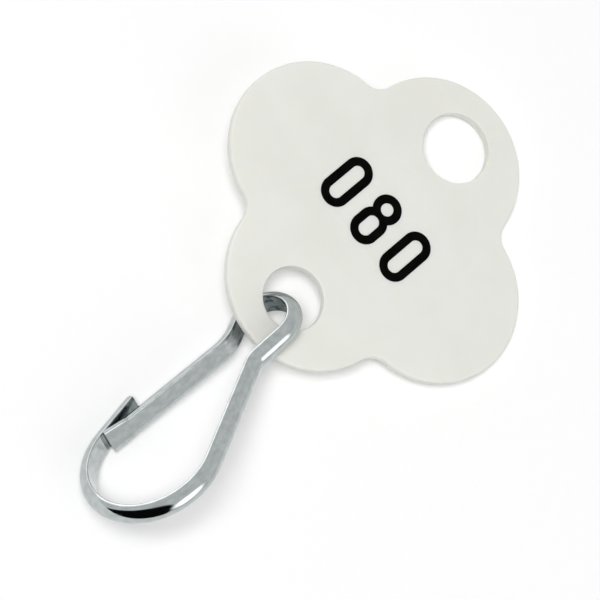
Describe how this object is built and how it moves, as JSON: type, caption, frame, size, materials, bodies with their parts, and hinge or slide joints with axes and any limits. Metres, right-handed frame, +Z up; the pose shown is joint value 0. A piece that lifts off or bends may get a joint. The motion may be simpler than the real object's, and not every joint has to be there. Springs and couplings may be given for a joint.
{
  "type": "numbered key tag with snap hook",
  "caption": "Four-lobed white plastic tag with engraved, filled digits and round holes at opposite lobes, hung on a bright half-round sprung wire snap hook.",
  "frame": {"origin": "bottom centre of the bounding box, on the surface that the object lies on", "axes": "+X along the line of the two holes, from the hook to the hanging hole; +Z up, out of the numbered side; the plate itself is tilted 8.3 degrees, because one side of it rests on the hook"},
  "size_m": [0.0724, 0.0444, 0.0141],
  "materials": {
    "white_plastic": "white moulded plastic with a soft satin sheen",
    "black_enamel": "black enamel filled into the engraving",
    "bright_plating": "bright nickel-plated spring steel"
  },
  "bodies": {
    "plate": {"tag_plate": "white_plastic", "first_digit_fill": "black_enamel", "middle_digit_fill": "black_enamel", "last_digit_fill": "black_enamel"},
    "hook": {"hook_body": "bright_plating"},
    "gate": {"gate_arm": "bright_plating"}
  },
  "joints": [
    {"name": "hook_swing", "type": "hinge", "parent": "plate", "child": "hook", "pos_m": [-0.0008, -0.00008, 0.005], "axis": [0.1043, -0.1043, 0.9891], "range_deg": [-100, 100]},
    {"name": "gate_flex", "type": "hinge", "parent": "hook", "child": "gate", "pos_m": [-0.01186, 0.00125, 0.0038], "axis": [-0.0336, 0.7116, 0.7018], "range_deg": [0, 15], "stiffness_Nm_per_rad": 0.4}
  ]
}
